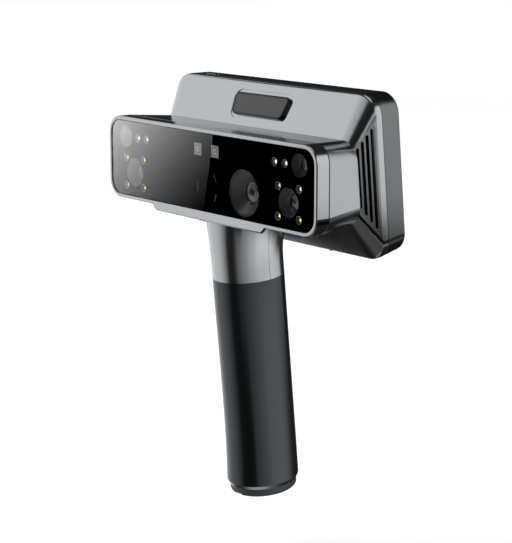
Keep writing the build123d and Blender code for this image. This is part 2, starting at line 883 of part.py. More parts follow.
# Fans: housing with legs on the middle plate, rotor on its spindle
fan_base = rim.offset(fan_forward)
rotor_floor = fan_floor + free_gap
leg_step = fan_size - 2 * fan_leg_inset
for word, side in sides.items():
    fan_place = (side * fan_x, back_mid)
    with BuildPart() as fan_housing:
        with BuildSketch(fan_base):
            with Locations(fan_place):
                RectangleRounded(fan_size, fan_size, fan_corner)
        extrude(amount=fan_thickness)
        with BuildSketch(fan_base.offset(fan_floor)):
            with Locations(fan_place):
                Circle(fan_chamber)
            with Locations((side * (fan_x + fan_size / 2), back_mid)):
                Rectangle(fan_size, fan_outlet)
        extrude(amount=fan_thickness, mode=Mode.SUBTRACT)
        with BuildSketch(fan_base):
            with Locations(fan_place):
                Circle(spindle_radius)
        extrude(amount=rotor_floor + rotor_height)
        with BuildSketch(rim.offset(-plate_face)):
            with Locations(fan_place):
                with GridLocations(leg_step, leg_step, 2, 2):
                    Circle(fan_leg_radius)
        extrude(amount=fan_forward + plate_face + fan_floor)
    save(fan_housing, f"fan_housing_{word}")

    with BuildPart() as fan_rotor:
        with BuildSketch(fan_base.offset(rotor_floor)):
            with Locations(fan_place):
                Circle(rotor_hub_radius)
                with PolarLocations((rotor_hub_radius + rotor_radius - blade_thickness) / 2, blade_count):
                    Rectangle(rotor_radius - rotor_hub_radius + blade_thickness, blade_thickness)
                Circle(spindle_radius + running_gap, mode=Mode.SUBTRACT)
        extrude(amount=rotor_height)
    save(fan_rotor, f"fan_rotor_{word}")

# Power button and its switch on the middle plate
flange_top = power_wall + slip_gap
with BuildPart() as power_button:
    with BuildSketch(power_top.offset(-flange_top)):
        SlotOverall(power_length, power_width)
    extrude(amount=flange_top + power_proud)
    fillet(power_button.edges().group_by(Axis(power_top.origin, rim_up))[-1], radius=power_round)
    with BuildSketch(power_top.offset(-flange_top)):
        SlotOverall(power_length + 2 * power_flange, power_width + 2 * power_flange)
    extrude(amount=-power_flange_thickness)
save(power_button, "power_button")

switch_top = flange_top + power_flange_thickness + power_travel + slip_gap
with BuildPart() as power_switch:
    with BuildSketch(rim.offset(-plate_face)):
        with Locations((power_x, top_edge - switch_top - switch_height / 2)):
            Rectangle(switch_length, switch_height)
    extrude(amount=switch_depth)
save(power_switch, "power_switch")


# Neck, in two halves that meet at the sides
def neck_section(rise, tilt, growth):
    spot = grip.from_local_coords((0, 0, neck_top + rise))
    turn = radians(tilt - rake)
    with BuildSketch(Plane(origin=spot, x_dir=across, z_dir=(0, sin(turn), cos(turn)))) as section:
        Ellipse(grip_half_width + growth, grip_half_depth + growth)
    return section.sketch


def neck_form(inset, mode):
    sections = [
        neck_section(0, 0, -inset),
        neck_section(neck_straight, 0, -inset),
        neck_section(neck_mid_rise, neck_mid_tilt, neck_mid_growth - inset),
        neck_section(neck_high_rise, neck_high_tilt, neck_high_growth - inset),
        neck_section(neck_top_rise, neck_top_tilt, neck_top_growth - inset),
    ]
    loft(sections, mode=mode)


scan_height = neck_top + scan_rise
scan_plane = Plane(
    origin=grip.from_local_coords((0, grip_half_depth, scan_height)), x_dir=across, z_dir=grip.y_dir
)
halves = {"neck_front": (-grip.y_dir, False), "neck_rear": (grip.y_dir, True)}
for name, (way, has_button) in halves.items():
    with BuildPart() as neck:
        neck_form(0, Mode.ADD)
        neck_form(neck_wall, Mode.SUBTRACT)
        add(head_block.part, mode=Mode.SUBTRACT)
        split(bisect_by=Plane(origin=way * (neck_seam / 2), x_dir=across, z_dir=way))
        if has_button:
            with BuildSketch(scan_plane.offset(overrun)):
                Circle(scan_radius + free_gap)
            extrude(amount=-grip_half_depth, mode=Mode.SUBTRACT)
    save(neck, name)

# Grip core: the inner tube that carries sleeve, neck and head
core_half_width = grip_half_width - sleeve_wall - slip_gap
core_half_depth = grip_half_depth - sleeve_wall - slip_gap
flange_radius = scan_radius + scan_flange
with BuildPart() as grip_core:
    with BuildSketch(grip.offset(-neck_top)):
        Ellipse(core_half_width, core_half_depth)
    extrude(amount=grip_length + neck_top_rise)
    with BuildSketch(grip.offset(-neck_top)):
        Circle(core_bore)
    extrude(amount=grip_length + neck_top_rise, mode=Mode.SUBTRACT)
    add(head_block.part, mode=Mode.SUBTRACT)
    with BuildSketch(scan_plane):
        Circle(flange_radius + scan_window)
    extrude(amount=-grip_half_depth, mode=Mode.SUBTRACT)
save(grip_core, "grip_core")

# Sleeve over the core, with its flare at the lower front
with BuildPart() as grip_sleeve:
    for height, growth, lead in (
        (-neck_top, grip_flare, grip_flare_lead),
        (-grip_waist_height, -grip_waist, 0),
        (grip_waist_height, -grip_waist, 0),
        (neck_top, 0, 0),
    ):
        with BuildSketch(grip.offset(height)):
            with Locations((0, -lead)):
                Ellipse(grip_half_width + growth, grip_half_depth + growth)
    loft()
    with BuildSketch(grip.offset(-neck_top)):
        Ellipse(core_half_width + slip_gap, core_half_depth + slip_gap)
    extrude(amount=grip_length, mode=Mode.SUBTRACT)
save(grip_sleeve, "grip_sleeve")

# Scan button, with its switch on a board in the core
flange_face = grip_half_depth - scan_stand
scan_base = Plane(origin=grip.from_local_coords((0, 0, scan_height)), x_dir=across, z_dir=grip.y_dir)
with BuildPart() as scan_button:
    with BuildSketch(scan_base.offset(flange_face)):
        Circle(scan_radius)
    extrude(amount=scan_stand + scan_proud)
    fillet(scan_button.edges().group_by(Axis(scan_base.origin, grip.y_dir))[-1], radius=scan_round)
    with BuildSketch(scan_base.offset(flange_face)):
        Circle(flange_radius)
    extrude(amount=-scan_flange_thickness)
save(scan_button, "scan_button")

board_top = flange_face - scan_flange_thickness - scan_travel - slip_gap - scan_switch_height
scan_board_width = 2 * sqrt((core_bore - slip_gap / 2) ** 2 - board_top**2)
with BuildPart() as button_board:
    with BuildSketch(scan_base.offset(board_top)):
        Rectangle(scan_board_width, scan_board_height)
    extrude(amount=-scan_board_thickness)
    with BuildSketch(scan_base.offset(board_top)):
        Rectangle(scan_switch_size, scan_switch_size)
    extrude(amount=scan_switch_height)
save(button_board, "button_board")

# Battery pack and its contacts at the upper end of the bore
battery_low = battery_rise - neck_top - ring_height
battery_top = battery_low + battery_length
with BuildPart() as battery_pack:
    with BuildSketch(grip.offset(battery_low)):
        Circle(core_bore - battery_gap)
    extrude(amount=battery_length)
    fillet(battery_pack.edges().filter_by(GeomType.CIRCLE), radius=battery_round)
save(battery_pack, "battery_pack")

with BuildPart() as contact_board:
    with BuildSketch(grip.offset(battery_top + contact_gap)):
        Circle(core_bore - slip_gap)
    extrude(amount=contact_board_thickness)
save(contact_board, "contact_board")

with BuildPart() as battery_contacts:
    with BuildSketch(grip.offset(battery_top)):
        with GridLocations(2 * contact_step, contact_step, 2, 1):
            Circle(contact_radius)
    extrude(amount=contact_gap)
save(battery_contacts, "battery_contacts")

# Grip's end: bright ring with the hinge block, and the door on its pin
ring_low = -neck_top - ring_height
door_top = ring_low - door_gap
door_low = door_top - door_height
pin_y = grip_half_depth - hinge_set_back
pin_z = (door_top + door_low) / 2
hinge_x = knuckle_length / 2 + free_gap
swing = knuckle_radius + free_gap
door_edge = sqrt(knuckle_radius**2 + (door_height / 2) ** 2) + free_gap


def end_cap(top):
    with BuildSketch(grip.offset(door_low)) as outline:
        with Locations((0, -grip_flare_lead)):
            Ellipse(grip_half_width - door_inset, grip_half_depth - door_inset)
    extrude(outline.sketch, amount=top - door_low)
    fillet(edges().group_by(Axis(grip.origin, rim_up))[0], radius=door_round)


def hinge_round(radius, length, mode):
    # A round bar along the pin, centred on the grip's middle plane
    spot = grip.from_local_coords((-length / 2, pin_y, pin_z))
    with BuildSketch(Plane(origin=spot, x_dir=grip.y_dir, z_dir=across)) as outline:
        Circle(radius)
    extrude(outline.sketch, amount=length, mode=mode)


def cut_cap(middle_y, half_width):
    # Takes away the cap's whole height over one grip depth
    with BuildSketch(grip.offset(door_low - overrun)) as outline:
        with Locations((0, middle_y)):
            Rectangle(2 * half_width, 2 * grip_half_depth)
    extrude(outline.sketch, amount=door_height + door_gap + overrun, mode=Mode.SUBTRACT)


with BuildPart() as grip_ring:
    end_cap(ring_low)
    cut_cap(pin_y - knuckle_radius - grip_half_depth, grip_half_width)
    cut_cap(pin_y + swing - grip_half_depth, hinge_x)
    hinge_round(pin_radius, 2 * grip_half_width, Mode.SUBTRACT)
    with BuildSketch(grip.offset(ring_low)):
        with Locations((0, -grip_flare_lead)):
            Ellipse(grip_half_width + grip_flare - ring_bevel, grip_half_depth + grip_flare - ring_bevel)
    with BuildSketch(grip.offset(-neck_top)):
        with Locations((0, -grip_flare_lead)):
            Ellipse(grip_half_width + grip_flare, grip_half_depth + grip_flare)
    loft()
    with BuildSketch(grip.offset(ring_low)):
        Circle(core_bore)
    extrude(amount=ring_height, mode=Mode.SUBTRACT)
save(grip_ring, "grip_ring")

with BuildPart() as battery_door:
    end_cap(door_top)
    cut_cap(pin_y - door_edge + grip_half_depth, grip_half_width)
    with BuildSketch(grip.offset(pin_z - knuckle_radius)):
        with Locations((0, pin_y - swing)):
            Rectangle(knuckle_length, 2 * swing)
    extrude(amount=2 * knuckle_radius)
    hinge_round(knuckle_radius, knuckle_length, Mode.ADD)
    hinge_round(pin_radius + running_gap, knuckle_length + 2 * overrun, Mode.SUBTRACT)
    notch_y = -grip_flare_lead - grip_half_depth + door_inset
    with BuildSketch(grip.offset(door_low)):
        with Locations((0, notch_y)):
            Circle(notch_radius)
    extrude(amount=notch_depth, mode=Mode.SUBTRACT)
save(battery_door, "battery_door")

with BuildPart() as door_pin:
    hinge_round(pin_radius, pin_length, Mode.ADD)
save(door_pin, "door_pin")
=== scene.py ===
import json
import math
import bpy
import bmesh
from mathutils import Matrix, Vector


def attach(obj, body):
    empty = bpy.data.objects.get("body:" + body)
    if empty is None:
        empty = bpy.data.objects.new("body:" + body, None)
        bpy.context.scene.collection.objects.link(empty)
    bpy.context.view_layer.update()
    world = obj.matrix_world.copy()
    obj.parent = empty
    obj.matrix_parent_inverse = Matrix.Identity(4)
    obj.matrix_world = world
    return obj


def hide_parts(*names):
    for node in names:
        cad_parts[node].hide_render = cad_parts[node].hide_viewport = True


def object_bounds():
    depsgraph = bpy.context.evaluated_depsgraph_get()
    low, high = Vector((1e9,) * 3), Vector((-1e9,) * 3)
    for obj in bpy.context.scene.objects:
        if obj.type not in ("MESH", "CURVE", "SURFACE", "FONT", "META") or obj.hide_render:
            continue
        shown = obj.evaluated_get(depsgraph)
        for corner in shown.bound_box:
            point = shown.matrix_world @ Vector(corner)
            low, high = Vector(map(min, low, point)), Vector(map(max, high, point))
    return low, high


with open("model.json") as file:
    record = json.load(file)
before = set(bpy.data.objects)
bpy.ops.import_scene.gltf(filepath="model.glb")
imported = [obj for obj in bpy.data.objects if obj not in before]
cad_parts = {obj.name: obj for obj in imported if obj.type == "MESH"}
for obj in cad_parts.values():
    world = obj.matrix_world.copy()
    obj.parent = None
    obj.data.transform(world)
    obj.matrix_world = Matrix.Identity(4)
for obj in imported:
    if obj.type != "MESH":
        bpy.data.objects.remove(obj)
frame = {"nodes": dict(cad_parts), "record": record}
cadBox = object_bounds()
nodes = frame["nodes"]
scene = bpy.context.scene
scene.view_settings.view_transform = "Standard"
bpy.ops.object.select_all(action="DESELECT")
print("frame loaded:", len(nodes), "nodes")

mm = 0.001  # sizes of the scanner are written in millimetres

# the scanner's own places, the same as in the solids
body = {"rake": 5.4, "lead": 41.7, "height": 140.4, "rimLead": 57.5, "gripHalf": 70.35}
leanSin = math.sin(math.radians(body["rake"]))
leanCos = math.cos(math.radians(body["rake"]))


def basis(x, y, z, spot):
    turn = Matrix((x, y, z)).transposed().to_4x4()
    turn.translation = Vector(spot) * mm
    return turn


def facing(out, spot):
    # a place that looks along a direction square to the scanner's width
    side = Vector((1, 0, 0))
    return basis(side, out.cross(side), out, spot)


# local axes: front looks out of the window, rim out of the slanted head, grip up the handle
frontFrame = basis((1, 0, 0), (0, 0, 1), (0, -1, 0), (0, -body["lead"], body["height"]))
rimFrame = basis(
    (1, 0, 0), (0, -leanSin, leanCos), (0, -leanCos, -leanSin),
    (0, body["rimLead"] - body["lead"], body["height"]),
)
gripFrame = basis((1, 0, 0), (0, leanCos, leanSin), (0, -leanSin, leanCos), (0, 0, 0))

# camera
shot = {
    "azimuth": 50.95, "elevation": 11.82, "distance": 1044.6, "aim": (51.13, -41.7, 84.45),
    "focalPixels": 1684.8, "width": 512, "sensor": 36, "clip": (0.05, 50),
}


def addCamera():
    a, e = math.radians(shot["azimuth"]), math.radians(shot["elevation"])
    away = Vector((math.sin(a) * math.cos(e), -math.cos(a) * math.cos(e), math.sin(e)))
    data = bpy.data.cameras.new("camera")
    data.sensor_fit = "HORIZONTAL"
    data.sensor_width = shot["sensor"]
    data.lens = shot["focalPixels"] * shot["sensor"] / shot["width"]
    data.clip_start, data.clip_end = shot["clip"]
    cam = bpy.data.objects.new("camera", data)
    scene.collection.objects.link(cam)
    cam.location = (Vector(shot["aim"]) + away * shot["distance"]) * mm
    cam.rotation_euler = away.to_track_quat("Z", "Y").to_euler()
    scene.camera = cam
    return cam


camera = addCamera()
print("camera set")


# shared surface effects
def newGroup(name, inputs, outputs):
    group = bpy.data.node_groups.new(name, "ShaderNodeTree")
    for label, kind, value in inputs:
        socket = group.interface.new_socket(name=label, in_out="INPUT", socket_type=kind)
        if value is not None:
            socket.default_value = value
    for label, kind in outputs:
        group.interface.new_socket(name=label, in_out="OUTPUT", socket_type=kind)
    return group, group.nodes.new("NodeGroupInput"), group.nodes.new("NodeGroupOutput")


def calc(tree, operation, *values):
    node = tree.nodes.new("ShaderNodeMath")
    node.operation = operation
    for socket, value in zip(node.inputs, values):
        if isinstance(value, (int, float)):
            socket.default_value = value
        else:
            tree.links.new(value, socket)
    return node.outputs[0]


def noise(tree, vector, scale, detail, rough):
    # a noise as it is, and the same about zero
    node = tree.nodes.new("ShaderNodeTexNoise")
    node.inputs["Detail"].default_value = detail
    node.inputs["Roughness"].default_value = rough
    if isinstance(scale, (int, float)):
        node.inputs["Scale"].default_value = scale
    else:
        tree.links.new(scale, node.inputs["Scale"])
    tree.links.new(vector, node.inputs["Vector"])
    return node.outputs["Fac"], calc(tree, "SUBTRACT", node.outputs["Fac"], 0.5)


grainSpec = {
    "fineDetail": 3.0, "fineRough": 0.6, "slowScale": 28.0, "slowDetail": 2.0, "slowRough": 0.5,
    "patchShare": 0.5, "wobbleShare": 0.6,
}


def makeGrain():
    # fine grain in tone and height, with a slow change of gloss over the surface
    s = grainSpec
    group, inp, out = newGroup(
        "paintGrain",
        [("Vector", "NodeSocketVector", None), ("Colour", "NodeSocketColor", (0.5, 0.5, 0.5, 1)),
         ("Tone", "NodeSocketFloat", 0.1), ("Scale", "NodeSocketFloat", 2000.0),
         ("Gloss", "NodeSocketFloat", 0.4), ("Drift", "NodeSocketFloat", 0.05)],
        [("Colour", "NodeSocketColor"), ("Roughness", "NodeSocketFloat"), ("Height", "NodeSocketFloat")],
    )
    vector, tone, drift = (inp.outputs[label] for label in ("Vector", "Tone", "Drift"))
    fine, fineOff = noise(group, vector, inp.outputs["Scale"], s["fineDetail"], s["fineRough"])
    slowOff = noise(group, vector, s["slowScale"], s["slowDetail"], s["slowRough"])[1]
    spread = calc(group, "MULTIPLY", fineOff, tone)
    patch = calc(group, "MULTIPLY", calc(group, "MULTIPLY", slowOff, tone), s["patchShare"])
    tint = group.nodes.new("ShaderNodeHueSaturation")
    group.links.new(inp.outputs["Colour"], tint.inputs["Color"])
    group.links.new(calc(group, "ADD", calc(group, "ADD", spread, 1.0), patch), tint.inputs["Value"])
    group.links.new(tint.outputs["Color"], out.inputs["Colour"])
    wobble = calc(group, "MULTIPLY", fineOff, calc(group, "MULTIPLY", drift, s["wobbleShare"]))
    change = calc(group, "ADD", calc(group, "MULTIPLY", slowOff, drift), wobble)
    group.links.new(calc(group, "ADD", inp.outputs["Gloss"], change), out.inputs["Roughness"])
    group.links.new(fine, out.inputs["Height"])
    return group


paintGrain = makeGrain()


def finish(name, colour, gloss, tone=0.1, scale=2500.0, drift=0.05, bump=0.05, depth=0.00002, **fixed):
    mat = bpy.data.materials.new(name)
    mat.use_nodes = True
    tree = mat.node_tree
    shader = tree.nodes["Principled BSDF"]
    place = tree.nodes.new("ShaderNodeTexCoord")
    grain = tree.nodes.new("ShaderNodeGroup")
    grain.node_tree = paintGrain
    grain.inputs["Colour"].default_value = (*colour, 1)
    for label, value in (("Tone", tone), ("Scale", scale), ("Gloss", gloss), ("Drift", drift)):
        grain.inputs[label].default_value = value
    tree.links.new(place.outputs["Object"], grain.inputs["Vector"])
    tree.links.new(grain.outputs["Colour"], shader.inputs["Base Color"])
    tree.links.new(grain.outputs["Roughness"], shader.inputs["Roughness"])
    if bump:
        relief = tree.nodes.new("ShaderNodeBump")
        relief.inputs["Strength"].default_value = bump
        relief.inputs["Distance"].default_value = depth
        tree.links.new(grain.outputs["Height"], relief.inputs["Height"])
        tree.links.new(relief.outputs["Normal"], shader.inputs["Normal"])
    for label, value in fixed.items():
        shader.inputs[label.replace("_", " ")].default_value = value
    return mat


def clearGlass():
    # polished window: a constant zero roughness, so that the sharp-reflection cards below show in it
    mat = finish(
        "windowGlass", (0.97, 0.98, 0.98), 0.0, tone=0.02, drift=0.0, bump=0,
        Transmission_Weight=1.0, IOR=1.5,
    )
    tree = mat.node_tree
    socket = tree.nodes["Principled BSDF"].inputs["Roughness"]
    tree.links.remove(socket.links[0])
    socket.default_value = 0.0
    return mat


def lensCoating():
    # coated lenses, softened a little, with the same gloss in the coat
    gloss = 0.16
    return finish(
        "lensGlass", (0.006, 0.007, 0.010), gloss, drift=0.0, bump=0,
        Coat_Weight=1.0, Coat_Roughness=gloss, IOR=1.5,
    )


metalPaint = {"tone": 0.06, "scale": 5200, "Metallic": 1.0}
finishes = {
    "shell_silver": finish("silverPaint", (0.495, 0.512, 0.527), 0.18, **metalPaint),
    "badge_black": finish("badgeLacquer", (0.006, 0.006, 0.0065), 0.16),
    "frame_grey": finish("greyPaint", (0.19, 0.20, 0.202), 0.24, **metalPaint),
    "grille_grey": finish("grillePaint", (0.36, 0.375, 0.38), 0.28, **metalPaint),
    "window_glass": clearGlass(),
    "display_glass": finish("screenGlass", (0.003, 0.003, 0.004), 0.05, drift=0.02, bump=0, IOR=1.5),
    "display_panel": finish("screenPanel", (0.02, 0.022, 0.026), 0.3),
    "mask_black": finish("blackPrint", (0.004, 0.004, 0.0045), 0.3, bump=0),
    "gasket_rubber": finish("gasketRubber", (0.004, 0.004, 0.004), 0.6),
    "optic_black": finish("opticBlack", (0.075, 0.075, 0.077), 0.42),
    "lens_glass": lensCoating(),
    "lamp_resin": finish("lampResin", (0.75, 0.78, 0.25), 0.3),
    "laser_brass": finish("turnedBrass", (0.72, 0.52, 0.25), 0.3, Metallic=1.0),
    "board_green": finish("boardLacquer", (0.02, 0.10, 0.05), 0.4),
    "bench_aluminium": finish("milledAluminium", (0.7, 0.7, 0.71), 0.35, Metallic=1.0),
    "fan_black": finish("fanPlastic", (0.02, 0.02, 0.02), 0.45),
    "steel": finish("plainSteel", (0.56, 0.56, 0.56), 0.3, Metallic=1.0),
    "sleeve_charcoal": finish("sleeveRubber", (0.07, 0.078, 0.083), 0.22, scale=3000, Metallic=0.93),
    "core_grey": finish("corePlastic", (0.1, 0.1, 0.105), 0.5),
    "ring_bright": finish("ringMetal", (0.78, 0.79, 0.8), 0.22, Metallic=1.0),
    "door_dark": finish("doorPlastic", (0.05, 0.052, 0.055), 0.4),
    "battery_black": finish("batteryPlastic", (0.02, 0.02, 0.02), 0.4),
    "button_dark": finish("buttonRubber", (0.03, 0.03, 0.032), 0.45),
    "switch_black": finish("switchPlastic", (0.015, 0.015, 0.015), 0.4),
}


def along(tree, way):
    # how far a point lies along a direction
    place = tree.nodes.new("ShaderNodeTexCoord")
    dot = tree.nodes.new("ShaderNodeVectorMath")
    dot.operation = "DOT_PRODUCT"
    dot.inputs[1].default_value = way
    tree.links.new(place.outputs["Object"], dot.inputs[0])
    return dot.outputs["Value"]


def tintWhere(mat, mask, tint):
    # another base colour where the mask is one
    tree = mat.node_tree
    colour = tree.nodes["Principled BSDF"].inputs["Base Color"]
    mix = tree.nodes.new("ShaderNodeMixRGB")
    tree.links.new(mask, mix.inputs[0])
    tree.links.new(colour.links[0].from_socket, mix.inputs[1])
    mix.inputs[2].default_value = tint
    tree.links.new(mix.outputs[0], colour)


# painted shade: the rear frame is darkened inside, ahead of a plane this far from the rim
insideShade = {"ahead": -4.1, "tint": (0.006, 0.006, 0.006, 1)}


# painted shade: a near-black base colour on the inside of the rear frame, where shade falls
def darkInside(mat):
    tree = mat.node_tree
    way = rimFrame.col[2].to_3d()
    limit = rimFrame.translation.dot(way) + insideShade["ahead"] * mm
    tintWhere(mat, calc(tree, "GREATER_THAN", along(tree, way), limit), insideShade["tint"])


# the display's lit area, a shade lighter than the print round it, in the head's frame
screenArea = {"half": (88.6, 39.4), "corner": 2.5, "middle": 2.05, "tint": (0.022, 0.024, 0.029, 1)}


def litArea(mat):
    s = screenArea
    tree = mat.node_tree
    middle = rimFrame @ Vector((0, s["middle"] * mm, 0))
    reach = []
    for axis, half in enumerate(s["half"]):
        way = rimFrame.col[axis].to_3d()
        off = calc(tree, "ABSOLUTE", calc(tree, "SUBTRACT", along(tree, way), middle.dot(way)))
        off = calc(tree, "MAXIMUM", calc(tree, "SUBTRACT", off, (half - s["corner"]) * mm), 0.0)
        reach.append(calc(tree, "MULTIPLY", off, off))
    inside = calc(tree, "LESS_THAN", calc(tree, "ADD", *reach), (s["corner"] * mm) ** 2)
    tintWhere(mat, inside, s["tint"])


darkInside(finishes["frame_grey"])
litArea(finishes["display_glass"])
slotOf = {s["node"]: s["material_slot"] for s in frame["record"]["subparts"]}
for name, node in nodes.items():
    node.data.materials.clear()
    node.data.materials.append(finishes[slotOf[name]])
print("finishes set:", len(finishes))


# modelling helpers
flatUp = 0.99  # least height of the normal of a face that looks straight up


def pick(piece, test):
    # selects the faces of a piece in edit mode whose middle and normal pass the test
    mesh = bmesh.from_edit_mesh(piece.data)
    for face in mesh.faces:
        face.select_set(False)
    mesh.select_flush(False)
    for face in mesh.faces:
        if test(face.calc_center_median() / mm, face.normal):
            face.select_set(True)
    bmesh.update_edit_mesh(piece.data)


def paint(piece, index):
    # gives the selected faces a material slot of the piece
    mesh = bmesh.from_edit_mesh(piece.data)
    for face in mesh.faces:
        if face.select:
            face.material_index = index
    bmesh.update_edit_mesh(piece.data)


def around(radius, height, points):
    # a stretch of a profile, given by its offsets from a radius and a height
    return [(radius + r, height + h) for r, h in points]


def dome(radius, foot, crown, steps=7, lastTurn=88):
    # profile of a rounded cap from its foot to just short of its top
    turns = [90 * i / steps for i in range(steps)] + [lastTurn]
    angles = [math.radians(turn) for turn in turns]
    return [(radius * math.cos(a), foot + (crown - foot) * math.sin(a)) for a in angles]


def turned(name, profile, count=72):
    # a disc drawn out through radius and height, which leaves a closed solid
    bpy.ops.object.select_all(action="DESELECT")
    radius, height = profile[0]
    bpy.ops.mesh.primitive_circle_add(vertices=count, radius=radius * mm, fill_type="NGON")
    piece = bpy.context.object
    piece.name = name
    piece.data.name = name
    bpy.ops.object.mode_set(mode="EDIT")
    bpy.ops.mesh.select_all(action="SELECT")
    bpy.ops.transform.translate(value=(0, 0, height * mm))
    for nextRadius, nextHeight in profile[1:]:
        rise = (nextHeight - height) * mm
        bpy.ops.mesh.extrude_region_move(TRANSFORM_OT_translate={"value": (0, 0, rise)})
        share = nextRadius / radius
        bpy.ops.transform.resize(value=(share, share, 1), center_override=(0, 0, nextHeight * mm))
        radius, height = nextRadius, nextHeight
    bpy.ops.mesh.select_all(action="SELECT")
    bpy.ops.mesh.normals_make_consistent(inside=False)
    bpy.ops.object.mode_set(mode="OBJECT")
    return piece


def bakePlace(piece, place):
    piece.data.transform(place)
    piece.matrix_world = Matrix.Identity(4)


def copyTo(piece, name, place):
    twin = piece.copy()
    twin.data = piece.data.copy()
    twin.name = name
    twin.data.name = name
    scene.collection.objects.link(twin)
    bakePlace(twin, place)
    return twin


def joinAll(pieces, name):
    bpy.ops.object.select_all(action="DESELECT")
    for one in pieces:
        one.select_set(True)
    bpy.context.view_layer.objects.active = pieces[0]
    bpy.ops.object.join()
    pieces[0].name = name
    pieces[0].data.name = name
    return pieces[0]


def drop(*pieces):
    for one in pieces:
        bpy.data.objects.remove(one, do_unlink=True)


def dress(piece, mats):
    for mat in mats:
        piece.data.materials.append(mat)


def settle(piece, bodyName, mats=(), angle=35):
    # finishes a piece: its materials, soft shading, and what it rides on
    dress(piece, mats)
    bpy.ops.object.select_all(action="DESELECT")
    piece.select_set(True)
    bpy.context.view_layer.objects.active = piece
    bpy.ops.object.shade_smooth_by_angle(angle=math.radians(angle))
    piece.select_set(False)
    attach(piece, bodyName)


def onFront(x, z):
    return frontFrame @ Matrix.Translation((x * mm, z * mm, 0))


# cameras: stepped funnel with a lens ring, and a domed lens
cameraSpec = {
    "lower": {"at": ((-80.1, -9.3), (80.1, -9.3)), "nodes": ("camera_lower_left", "camera_lower_right"),
              "window": 9.5, "lens": 5.0, "cone": 4.7, "steps": 4},
    "upper": {"at": ((-90.0, 14.4), (90.0, 14.4)), "nodes": ("camera_upper_left", "camera_upper_right"),
              "window": 7.4, "lens": 4.0, "cone": 4.0, "steps": 3},
    "texture": {"at": ((37.4, -8.8),), "nodes": ("texture_camera",),
                "window": 15.0, "lens": 7.0, "cone": 6.0, "steps": 6},
    "wall": 0.6, "front": -2.8, "back": -15.0, "backInset": 0.4, "edge": 0.1, "ring": 0.9,
    "firstStep": 0.15, "lastStep": 0.5,  # below the front, and above the lens seat
    "tread": ((0.16, 0.14), (0.12, 0.0), (0.0, 0.0)),  # one step's rounded edge
    # from the ring's radius and the lens seat
    "ledge": ((0.0, -0.4), (-0.5, -0.4)),
    "collar": ((-0.04, -0.3), (-0.04, 0.35), (-0.14, 0.5), (-0.6, 0.5), (-0.75, 0.3)),
    # from the lens's radius and seat
    "throat": ((-0.1, 0.1), (-0.15, -0.25)),
    "lensInset": 0.2, "lensFoot": -0.25, "lensDrop": 0.1, "crownShare": 0.15, "lensSteps": 9, "lensAngle": 60,
}
lensRing = finish("ringAnodised", (0.10, 0.10, 0.105), 0.3, Metallic=0.6)


def cameraPieces(kind):
    s, own = cameraSpec, cameraSpec[kind]
    front, back, window, lens = s["front"], s["back"], own["window"], own["lens"]
    seat = front - own["cone"]
    outer = window + s["wall"]
    ring = lens + s["ring"]
    profile = [(window - s["backInset"], back), (outer, back), (outer, front - s["edge"]),
               (outer - s["edge"], front), (window, front)]
    for i in range(1, own["steps"] + 1):
        share = i / own["steps"]
        radius = window + (ring - window) * share
        height = front - s["firstStep"] + (seat + s["lastStep"] - front) * share
        profile += around(radius, height, s["tread"] if share < 1 else s["tread"][-1:])
    funnel = turned("funnel", profile + around(ring, seat, s["ledge"]))
    collar = turned("collar", around(ring, seat, s["collar"]) + around(lens, seat, s["throat"]))
    crown = seat + s["crownShare"] * lens - s["lensDrop"]
    glass = turned("glass", dome(lens - s["lensInset"], seat + s["lensFoot"], crown, s["lensSteps"]))
    for (x, z), node in zip(own["at"], own["nodes"]):
        word = "".join(w.capitalize() if i else w for i, w in enumerate(node.split("_")))
        piece = copyTo(funnel, word + "Funnel", onFront(x, z))
        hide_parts(node + "_barrel")
        settle(piece, "scanner", [finishes["optic_black"]])
        piece = copyTo(collar, word + "Ring", onFront(x, z))
        settle(piece, "scanner", [lensRing])
        piece = copyTo(glass, word + "Lens", onFront(x, z))
        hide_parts(node + "_lens")
        settle(piece, "scanner", [finishes["lens_glass"]], s["lensAngle"])
    drop(funnel, collar, glass)


for kind in ("lower", "upper", "texture"):
    cameraPieces(kind)
print("cameras made")

# lamps: clear domes in dark collars, warm round the lower cameras and white beside the upper ones; the domes
# glow with painted light, standing in for the light the window holds back from them
lampSpec = {
    "stepX": 9.75, "stepZ": 9.4, "whiteX": (66.8, 76.5), "whiteZ": 14.3,
    "radius": 1.6, "foot": -6.2, "footInset": 0.3, "stem": 0.8, "crown": -3.3,
    "bulbSides": 40, "bulbAngle": 60,
    "collar": 2.6, "inner": 1.95, "lip": -2.36, "lipWidth": 0.3, "collarSides": 48,
    "rim": ((0.0, -0.08), (-0.08, 0.0), (-0.26, 0.0), (-0.36, -0.12)),  # from the collar's radius and lip
    "throat": ((0.1, -0.9),),  # from the inner radius and the lip
    "pit": ((0.0, 0.2),),  # from the inner radius and the foot
}
# painted light: the domes carry an emission glow that stands in for light reaching them through the window
lampWarm = finish(
    "lampWarm", (0.80, 0.86, 0.24), 0.22, tone=0.15, scale=900,
    Emission_Strength=1.25, Emission_Color=(0.66, 0.68, 0.12, 1),
)
lampWhite = finish(
    "lampWhite", (0.92, 0.93, 0.90), 0.22, tone=0.08, scale=900,
    Emission_Strength=1.5, Emission_Color=(0.95, 0.96, 0.90, 1),
)
collarEdge = finish("collarEdge", (0.55, 0.55, 0.56), 0.35)
collarInside = finish("collarInside", (0.008, 0.008, 0.008), 0.5)


